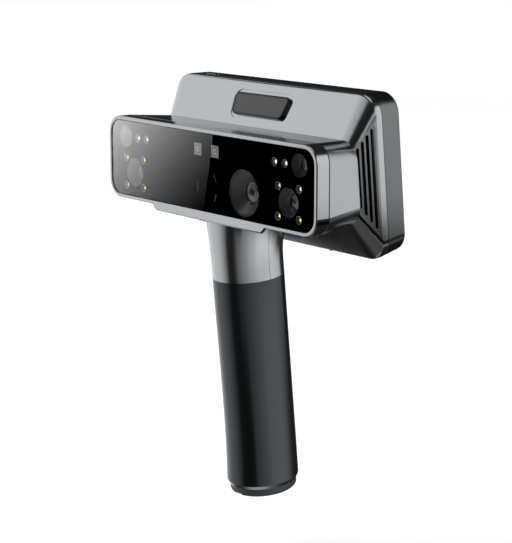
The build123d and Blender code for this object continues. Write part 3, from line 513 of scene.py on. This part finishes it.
def lampPieces():
    s = lampSpec
    radius, foot, inner, outer, lip = s["radius"], s["foot"], s["inner"], s["collar"], s["lip"]
    profile = [(radius - s["footInset"], foot), (radius, foot)] + dome(radius, foot + s["stem"], s["crown"])
    bulb = turned("bulb", profile, s["bulbSides"])
    profile = [(inner, foot), (outer, foot)] + around(outer, lip, s["rim"])
    profile += around(inner, lip, s["throat"]) + around(inner, foot, s["pit"])
    collar = turned("collar", profile, s["collarSides"])
    dress(collar, [collarEdge, collarInside])
    bpy.context.view_layer.objects.active = collar
    bpy.ops.object.mode_set(mode="EDIT")
    pick(collar, lambda mid, normal: mid.xy.length < outer - s["lipWidth"])
    paint(collar, 1)
    bpy.ops.object.mode_set(mode="OBJECT")
    for word, (midX, midZ) in zip(("Left", "Right"), cameraSpec["lower"]["at"]):
        side = math.copysign(1, midX)
        warm = [(midX + side * i * s["stepX"], midZ + k * s["stepZ"]) for i in (-1, 1) for k in (-1, 1)]
        white = [(side * x, s["whiteZ"]) for x in s["whiteX"]]
        warmBulbs = joinAll([copyTo(bulb, "bulb", onFront(x, z)) for x, z in warm], "lampsWarm" + word)
        whiteBulbs = joinAll([copyTo(bulb, "bulb", onFront(x, z)) for x, z in white], "lampsWhite" + word)
        rims = joinAll([copyTo(collar, "rim", onFront(x, z)) for x, z in warm + white], "lampCollars" + word)
        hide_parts("leds_" + word.lower())
        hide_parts("led_collars_" + word.lower())
        settle(warmBulbs, "scanner", [lampWarm], s["bulbAngle"])
        settle(whiteBulbs, "scanner", [lampWhite], s["bulbAngle"])
        settle(rims, "scanner")
    drop(bulb, collar)


lampPieces()
print("lamps made")

# emitter windows: frosted plates with a dark chip sunk in the middle; the plates glow faintly with painted
# light
emitterSpec = {
    "at": ((-9.8, 14.1), (8.0, 14.1)), "size": 7.7, "front": -2.25, "back": -2.78,
    "bevel": 0.12, "bevelSteps": 2, "edge": 1.1, "groove": 0.35, "grooveSink": 0.15, "innerRise": 0.12,
    "chip": 1.3, "chipStretch": (0.8, 1.2, 1), "chipPivot": 1.4, "chipEdge": 0.1, "chipSink": 0.15,
}
# painted light: a faint white emission on the frosted plates and their inner panels
frosted = finish(
    "frostedPlate", (0.36, 0.37, 0.37), 0.5, tone=0.2, scale=1500,
    Emission_Strength=0.05, Emission_Color=(1, 1, 1, 1),
)
frostedInner = finish(
    "frostedInner", (0.50, 0.51, 0.51), 0.45, tone=0.3, scale=900,
    Emission_Strength=0.07, Emission_Color=(1, 1, 1, 1),
)
chipGrey = finish("chipGrey", (0.12, 0.122, 0.125), 0.4, tone=0.5, scale=700)


def emitterPieces():
    s = emitterSpec
    bpy.ops.object.select_all(action="DESELECT")
    bpy.ops.mesh.primitive_cube_add(size=1)
    plate = bpy.context.object
    dress(plate, [frosted, frostedInner, chipGrey])
    plate.data.transform(Matrix.Diagonal((s["size"] * mm, s["size"] * mm, (s["front"] - s["back"]) * mm, 1)))
    plate.data.transform(Matrix.Translation((0, 0, (s["front"] + s["back"]) / 2 * mm)))
    bpy.ops.object.mode_set(mode="EDIT")
    bpy.ops.mesh.select_all(action="SELECT")
    bpy.ops.mesh.bevel(offset=s["bevel"] * mm, segments=s["bevelSteps"], affect="EDGES")
    pick(plate, lambda mid, normal: normal.z > flatUp)
    bpy.ops.mesh.inset(thickness=s["edge"] * mm, depth=0)
    bpy.ops.mesh.inset(thickness=s["groove"] * mm, depth=-s["grooveSink"] * mm)
    paint(plate, 2)
    bpy.ops.mesh.inset(thickness=s["groove"] * mm, depth=s["innerRise"] * mm)
    paint(plate, 1)
    bpy.ops.mesh.inset(thickness=s["chip"] * mm, depth=0)
    bpy.ops.transform.resize(value=s["chipStretch"], center_override=(s["chipPivot"] * mm, 0, 0))
    bpy.ops.mesh.inset(thickness=s["chipEdge"] * mm, depth=-s["chipSink"] * mm)
    paint(plate, 2)
    bpy.ops.object.mode_set(mode="OBJECT")
    for (x, z), word in zip(s["at"], ("Left", "Right")):
        piece = copyTo(plate, "emitterWindow" + word, onFront(x, z))
        settle(piece, "scanner")
    drop(plate)


emitterPieces()

# slit windows of the three line lasers: place and lean in degrees
slitSpec = {
    "at": ((-10.0, -9.7, 0), (8.0, -3.2, 30), (8.0, -15.5, -30)),
    "length": 6.8, "width": 1.5, "front": -2.3, "back": -2.78, "backInset": 0.1, "sides": 32,
    # from the radius of the round ends and the front
    "rim": ((0.0, -0.06), (-0.06, 0.0), (-0.22, 0.0), (-0.3, -0.2), (-0.36, -0.2)), "rimDepth": 0.05,
}
slitGlass = finish("slitGlass", (0.045, 0.045, 0.047), 0.3)
slitDark = finish("slitDark", (0.002, 0.002, 0.002), 0.5)
slitEdge = finish("slitEdge", (0.03, 0.03, 0.031), 0.6)


def slitPieces():
    s = slitSpec
    radius, front, back = s["width"] / 2, s["front"], s["back"]
    profile = [(radius - s["backInset"], back), (radius, back)] + around(radius, front, s["rim"])
    bar = turned("bar", profile, s["sides"])
    dress(bar, [slitEdge, slitGlass])
    reach = (s["length"] - s["width"]) / 2 * mm
    for vertex in bar.data.vertices:
        vertex.co.y += reach if vertex.co.y > 0 else -reach
    bpy.context.view_layer.objects.active = bar
    bpy.ops.object.mode_set(mode="EDIT")
    pick(bar, lambda mid, normal: mid.z < front - s["rimDepth"] and normal.z > flatUp)
    paint(bar, 1)
    bpy.ops.object.mode_set(mode="OBJECT")
    for i, (x, z, lean) in enumerate(s["at"]):
        lay = Matrix.Rotation(math.radians(lean), 4, "Z")
        piece = copyTo(bar, "slitWindow" + str(i + 1), onFront(x, z) @ lay)
        if not lean:
            piece.data.materials[1] = slitDark  # the upright slit is darker than the others
        settle(piece, "scanner")
    drop(bar)


slitPieces()
print("emitters made")

# sloped upper face, from the rim's upper edge to the bar's rear end, in the head's frame
slope = {
    "rimMiddle": 1.6, "rimHeight": 104.6,
    "barHeight": 55.6, "barDraft": 1.7, "barAhead": 14.4, "junction": 1.3,
}


def onSlope():
    s = slope
    rimTop = s["rimMiddle"] + s["rimHeight"] / 2
    barTop = (s["barAhead"] * leanSin + s["barHeight"] / 2 - s["barDraft"]) / leanCos
    up, ahead = rimFrame.col[1].to_3d(), rimFrame.col[2].to_3d()
    out = (up * (s["barAhead"] + s["junction"]) + ahead * (rimTop - barTop)).normalized()
    return facing(out, rimFrame @ Vector((0, rimTop * mm, 0)) / mm)


# badge: leaning plate with rounded corners, a lacquered border and a sunk matt face
badgeSpec = {
    "below": 16.0, "width": 55.4, "lowWidth": 50.4, "height": 15.4, "corner": 3.8, "cornerSteps": 10,
    "pocket": 0.5, "thickness": 2.5, "bevel": 0.8, "bevelSteps": 5,
    "border": 0.5, "sink": 0.2, "sinkEdge": 0.15, "touch": 0.01,
}
badgeFace = finish("badgeFace", (0.074, 0.075, 0.077), 0.42, tone=0.25, scale=2600)


def badgePiece():
    s = badgeSpec
    topFrom = s["thickness"] - s["touch"]
    bpy.ops.object.select_all(action="DESELECT")
    bpy.ops.mesh.primitive_plane_add(size=1)
    plate = bpy.context.object
    plate.name = "badgePlate"
    dress(plate, [finishes["badge_black"], badgeFace])
    bpy.ops.object.mode_set(mode="EDIT")
    bpy.ops.mesh.select_all(action="SELECT")
    bpy.ops.transform.resize(value=(s["width"] * mm, s["height"] * mm, 1), center_override=(0, 0, 0))
    mesh = bmesh.from_edit_mesh(plate.data)
    for vertex in mesh.verts:
        if vertex.co.y < 0:
            vertex.co.x *= s["lowWidth"] / s["width"]
    bmesh.update_edit_mesh(plate.data)
    bpy.ops.mesh.bevel(offset=s["corner"] * mm, segments=s["cornerSteps"], affect="VERTICES")
    bpy.ops.mesh.extrude_region_move(TRANSFORM_OT_translate={"value": (0, 0, s["thickness"] * mm)})
    pick(plate, lambda mid, normal: mid.z > topFrom and abs(normal.z) > flatUp)
    bpy.ops.mesh.region_to_loop()
    bpy.ops.mesh.bevel(offset=s["bevel"] * mm, segments=s["bevelSteps"], affect="EDGES")
    bpy.ops.mesh.select_all(action="SELECT")
    bpy.ops.mesh.normals_make_consistent(inside=False)
    pick(plate, lambda mid, normal: mid.z > topFrom and normal.z > flatUp)
    bpy.ops.mesh.inset(thickness=s["border"] * mm, depth=0)
    bpy.ops.mesh.inset(thickness=s["sinkEdge"] * mm, depth=-s["sink"] * mm)
    paint(plate, 1)
    bpy.ops.object.mode_set(mode="OBJECT")
    bakePlace(plate, onSlope() @ Matrix.Translation((0, -s["below"] * mm, -s["pocket"] * mm)))
    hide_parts("badge_plate")
    settle(plate, "scanner")


badgePiece()
print("badge made")

# scan button: flanged cap with a dished top, on the back of the neck
buttonSpec = {
    "rise": 9.5, "radius": 6.5, "flange": 7.6, "foot": 19.5, "footInner": 0.5, "seat": 20.7, "top": 25.2,
    "round": 0.7, "roundSteps": 6, "border": 1.1, "dish": 0.75, "dishSteps": 12, "sides": 96, "angle": 40,
}


def buttonPiece():
    s = buttonSpec
    radius, top, curve, steps = s["radius"], s["top"], s["round"], s["dishSteps"]
    profile = [(s["footInner"], s["foot"]), (s["flange"], s["foot"]), (s["flange"], s["seat"]),
               (radius, s["seat"])]
    turns = [math.radians(90 * i / s["roundSteps"]) for i in range(s["roundSteps"] + 1)]
    edge = [(curve * math.cos(a), curve * math.sin(a)) for a in turns]
    profile += around(radius - curve, top - curve, edge)
    for i in range(steps):
        sunk = s["dish"] * (1 - math.cos(math.pi * i / steps)) / 2
        profile.append(((radius - s["border"]) * (1 - i / steps), top - sunk))
    cap = turned("scanButtonCap", profile, s["sides"])
    spot = gripFrame @ Vector((0, 0, (body["gripHalf"] + s["rise"]) * mm)) / mm
    bakePlace(cap, facing(gripFrame.col[1].to_3d(), spot))
    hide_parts("scan_button")
    settle(cap, "scan_button", [finishes["button_dark"]], s["angle"])


buttonPiece()
print("button made")


# studio: white all round, with a dome and cards that only gloss sees
def seenDirectly(tree):
    path = tree.nodes.new("ShaderNodeLightPath")
    seen = calc(tree, "MAXIMUM", path.outputs["Is Camera Ray"], path.outputs["Is Glossy Ray"])
    return calc(tree, "MAXIMUM", seen, path.outputs["Is Transmission Ray"])


worldLight = {"soft": 0.55, "seen": 1.0}  # as light on the object, and as background


def surround():
    world = bpy.data.worlds.new("studio")
    scene.world = world
    world.use_nodes = True
    tree = world.node_tree
    tree.nodes.clear()
    out = tree.nodes.new("ShaderNodeOutputWorld")
    mix = tree.nodes.new("ShaderNodeMixShader")
    tree.links.new(seenDirectly(tree), mix.inputs[0])
    for i, strength in enumerate((worldLight["soft"], worldLight["seen"])):
        white = tree.nodes.new("ShaderNodeBackground")
        white.inputs["Color"].default_value = (1, 1, 1, 1)
        white.inputs["Strength"].default_value = strength
        tree.links.new(white.outputs[0], mix.inputs[i + 1])
    tree.links.new(mix.outputs[0], out.inputs[0])


# the drop, in metres, leaves room for the open battery door
floorSpec = {"size": 12, "drop": 0.042, "colour": (0.9, 0.9, 0.9, 1), "gloss": 0.9, "glow": 0.5}


def floorPlane():
    s = floorSpec
    bpy.ops.mesh.primitive_plane_add(size=s["size"], location=(0, 0, cadBox[0][2] - s["drop"]))
    floor = bpy.context.object
    floor.name = "floor"
    mat = bpy.data.materials.new("floorPaper")
    mat.use_nodes = True
    tree = mat.node_tree
    shader = tree.nodes["Principled BSDF"]
    shader.inputs["Base Color"].default_value = s["colour"]
    shader.inputs["Roughness"].default_value = s["gloss"]
    shader.inputs["Emission Color"].default_value = (1, 1, 1, 1)
    tree.links.new(calc(tree, "MULTIPLY", seenDirectly(tree), s["glow"]), shader.inputs["Emission Strength"])
    floor.data.materials.append(mat)
    floor.visible_glossy = False


keyLamp = {"spot": (-0.9, -0.9, 1.5), "aim": (0, 0, 0.1), "size": 0.9, "power": 10}  # metres and watts


def areaLamp(name, spot, aim, size, power):
    data = bpy.data.lights.new(name, "AREA")
    data.shape = "RECTANGLE"
    data.size, data.size_y = size, size
    data.energy = power
    lamp = bpy.data.objects.new(name, data)
    scene.collection.objects.link(lamp)
    lamp.location = spot
    lamp.rotation_euler = (Vector(spot) - Vector(aim)).to_track_quat("Z", "Y").to_euler()
    lamp.visible_glossy = False


def glossOnly(card):
    card.visible_camera = False
    card.visible_diffuse = False
    card.visible_transmission = False
    card.visible_shadow = False
    card.visible_volume_scatter = False


def cardMaterial(name, level=1.0):
    mat = bpy.data.materials.new(name)
    mat.use_nodes = True
    tree = mat.node_tree
    tree.nodes.clear()
    out = tree.nodes.new("ShaderNodeOutputMaterial")
    glow = tree.nodes.new("ShaderNodeEmission")
    glow.inputs["Color"].default_value = (1, 1, 1, 1)
    glow.inputs["Strength"].default_value = level
    tree.links.new(glow.outputs[0], out.inputs[0])
    return mat


# what gloss sees all round: levels by heading in degrees, 0 ahead of the window and 90 to the +X side.
# A pair of degrees is the height over which one level gives way to the next.
studioLight = {
    "radius": 3.0, "middle": (0, 0, 0.1), "sides": 64, "rings": 32,  # metres
    # from the ground to just below the horizon
    "low": ((-180, 0.04), (-150, 0.06), (-138, 0.8), (-130, 1.0), (-90, 0.95), (-64, 0.84), (-48, 0.8),
            (-32, 0.62), (-18, 0.32), (-5, 0.02), (14, 0.0), (22, 0.1), (32, 0.24), (50, 0.4), (74, 0.7),
            (98, 1.08), (138, 1.12), (150, 0.85), (158, 0.5), (165, 0.12), (172, 0.04), (180, 0.04)),
    # round the horizon
    "high": ((-180, 0.0), (-121, 0.0), (-113, 0.95), (-66, 0.97), (-52, 0.97), (-43, 0.72), (-34, 0.6),
             (-20, 0.35), (-8, 0.08), (0, 0.0), (46, 0.0), (60, 0.05), (76, 0.2), (84, 0.36), (94, 0.4),
             (106, 0.7), (122, 0.95), (140, 1.0), (166, 0.85), (176, 0.5), (180, 0.0)),
    # from there to the dark ceiling
    "upper": ((-180, 0.0), (-121, 0.0), (-113, 0.95), (-52, 0.97), (-43, 0.8), (-20, 0.7), (-10, 0.5),
              (0, 0.02), (40, 0.02), (52, 0.7), (100, 0.9), (140, 1.0), (166, 0.85), (180, 0.0)),
    # faint light on the ground
    "under": ((-180, 0.0), (-60, 0.0), (-40, 0.1), (130, 0.1), (150, 0.0), (180, 0.0)),
    # how far the ceiling comes down and the ground comes up, as shares of the radius
    "dip": ((-180, 0.0), (-14, 0.0), (-2, 0.2), (68, 0.2), (82, 0.0), (180, 0.0)),
    "lift": ((-180, 0.2), (-150, 0.22), (-129, 0.34), (-117, 0.0), (112, 0.0), (134, 0.12), (150, 0.2),
             (180, 0.2)),
    "change": (-18, -9), "rise": (6, 12), "ceiling": (34, 40), "top": (62, 70),
    "floor": (-50, -26), "sink": (-37, -45), "below": (-66, -74),
    "dark": 0.02, "topLevel": 0.8, "belowLevel": 0.35,
}


def rampOf(tree, value, stops):
    # levels by heading, as a ramp from -180 to 180 degrees
    node = tree.nodes.new("ShaderNodeValToRGB")
    node.color_ramp.interpolation = "EASE"
    marks = node.color_ramp.elements
    while len(marks) < len(stops):
        marks.new(0.5)
    for mark, (heading, level) in zip(marks, stops):
        mark.position = (heading + 180) / 360
        mark.color = (level, level, level, 1)
    tree.links.new(value, node.inputs[0])
    return node.outputs[0]


def stepOf(tree, value, start, end):
    node = tree.nodes.new("ShaderNodeMapRange")
    node.interpolation_type = "SMOOTHSTEP"
    node.inputs["From Min"].default_value = math.sin(math.radians(start))
    node.inputs["From Max"].default_value = math.sin(math.radians(end))
    tree.links.new(value, node.inputs["Value"])
    return node.outputs[0]


def studioRound():
    s = studioLight
    bpy.ops.mesh.primitive_uv_sphere_add(
        segments=s["sides"], ring_count=s["rings"], radius=s["radius"], location=s["middle"],
    )
    card = bpy.context.object
    card.name = "studioRound"
    mat = cardMaterial("studioRound")
    tree = mat.node_tree
    place = tree.nodes.new("ShaderNodeTexCoord")
    parts = tree.nodes.new("ShaderNodeSeparateXYZ")
    tree.links.new(place.outputs["Object"], parts.inputs[0])
    x, y, z = parts.outputs
    heading = calc(tree, "ARCTAN2", x, calc(tree, "MULTIPLY", y, -1.0))
    turn = calc(tree, "MULTIPLY_ADD", heading, 0.5 / math.pi, 0.5)
    rise = calc(tree, "DIVIDE", z, s["radius"])

    def ramp(key):
        return rampOf(tree, turn, s[key])

    def step(key, value=rise):
        return stepOf(tree, value, *s[key])

    level = ramp("low")
    for key, start in (("high", "change"), ("upper", "rise")):
        level = calc(tree, "MULTIPLY_ADD", calc(tree, "SUBTRACT", ramp(key), level), step(start), level)
    lid = calc(tree, "SUBTRACT", 1.0, step("ceiling", calc(tree, "ADD", rise, ramp("dip"))))
    ground = step("floor", calc(tree, "SUBTRACT", rise, ramp("lift")))
    level = calc(tree, "MULTIPLY", level, calc(tree, "MULTIPLY", lid, ground))
    level = calc(tree, "MAXIMUM", level, s["dark"])
    for start, most in (("top", s["topLevel"]), ("sink", ramp("under")), ("below", s["belowLevel"])):
        level = calc(tree, "MAXIMUM", level, calc(tree, "MULTIPLY", step(start), most))
    tree.links.new(level, tree.nodes["Emission"].inputs["Strength"])
    card.data.materials.append(mat)
    glossOnly(card)
    card.visible_transmission = True


# black flags by their corners: one beside the head, below its right end, and one low ahead of the grip
flags = {
    "sideFlag": ((168, -260, 48), (400, -260, 48), (168, 320, 48), (400, 320, 48)),
    "gripFlag": ((120, -580, -560), (430, -500, -560), (120, -580, -228), (430, -500, -228)),
}


def cornerCard(name, corners):
    bpy.ops.mesh.primitive_plane_add(size=1)
    card = bpy.context.object
    card.name = name
    for vertex, corner in zip(card.data.vertices, corners):
        vertex.co = corner
    return card


def flagCard(name, corners):
    card = cornerCard(name, [Vector(corner) * mm for corner in corners])
    card.data.materials.append(cardMaterial(name, 0.0))
    glossOnly(card)


# what the window mirrors: a card that fades to the right and downwards, then black, in a plane ahead of the
# window, in metres. The edge between them and the fade are given where they show on the window.
windowCard = {
    "away": 0.5, "edgeTop": (7.4, 24.4), "edgeLow": (-2.8, -24.5), "reach": 150, "stretch": 1.6,
    "tone": 0.185, "across": -0.00404, "up": 0.0051, "curve": 2.2, "gain": 15.0,
    "backLoss": 0.7,  # weaker off the back of the glass
}


def sharpOnly(name, tone, across, up, gain):
    # seen by rays off polished glass alone, and clear to all others
    mat = cardMaterial(name)
    tree = mat.node_tree
    glow, out = tree.nodes["Emission"], tree.nodes["Material Output"]
    clear = tree.nodes.new("ShaderNodeBsdfTransparent")
    mix = tree.nodes.new("ShaderNodeMixShader")
    path = tree.nodes.new("ShaderNodeLightPath")
    place = tree.nodes.new("ShaderNodeTexCoord")
    parts = tree.nodes.new("ShaderNodeSeparateXYZ")
    tree.links.new(place.outputs["Object"], parts.inputs[0])
    level = calc(tree, "MULTIPLY_ADD", parts.outputs["X"], across, tone)
    level = calc(tree, "MULTIPLY_ADD", parts.outputs["Z"], up, level)
    level = calc(tree, "POWER", calc(tree, "MAXIMUM", level, 0.0), windowCard["curve"])
    inner = calc(tree, "MULTIPLY_ADD", path.outputs["Is Transmission Ray"], -windowCard["backLoss"], 1.0)
    level = calc(tree, "MULTIPLY", calc(tree, "MULTIPLY", level, gain), inner)
    tree.links.new(level, glow.inputs["Strength"])
    tree.links.new(path.outputs["Is Singular Ray"], mix.inputs[0])
    tree.links.new(clear.outputs[0], mix.inputs[1])
    tree.links.new(glow.outputs[0], mix.inputs[2])
    tree.links.new(mix.outputs[0], out.inputs[0])
    return mat


def windowCards():
    s = windowCard
    frontY = -body["lead"] * mm
    eye = camera.location.copy()
    eye.y = 2 * frontY - eye.y  # the camera's mirror image behind the window
    grow = (frontY - s["away"] - eye.y) / (frontY - eye.y)  # the card's size against the window's

    def onCard(x, z):
        spot = Vector((x * mm, frontY, (body["height"] + z) * mm))
        return eye + (spot - eye) * grow

    def upright(xTop, xLow):
        # an edge's lower and upper end, stretched past the window
        top, low = Vector((xTop, s["edgeTop"][1])), Vector((xLow, s["edgeLow"][1]))
        mid = (top + low) / 2
        return [onCard(*(mid + (end - mid) * s["stretch"])) for end in (low, top)]

    across, up = s["across"] / mm / grow, s["up"] / mm / grow
    middle = onCard(0, 0)
    tone = s["tone"] - across * middle.x - up * middle.z
    left, right = upright(-s["reach"], -s["reach"]), upright(s["reach"], s["reach"])
    change = upright(s["edgeTop"][0], s["edgeLow"][0])
    for name, a, b, gain in (("fadeCard", left, change, s["gain"]), ("blackCard", change, right, 0.0)):
        card = cornerCard(name, [a[0], b[0], a[1], b[1]])
        card.data.materials.append(sharpOnly(name, tone, across, up, gain))
        glossOnly(card)
        card.visible_transmission = True  # the glass mirrors at its back too


windowCards()
surround()
floorPlane()
areaLamp("keyLamp", **keyLamp)
studioRound()
for name, corners in flags.items():
    flagCard(name, corners)
print("studio set")
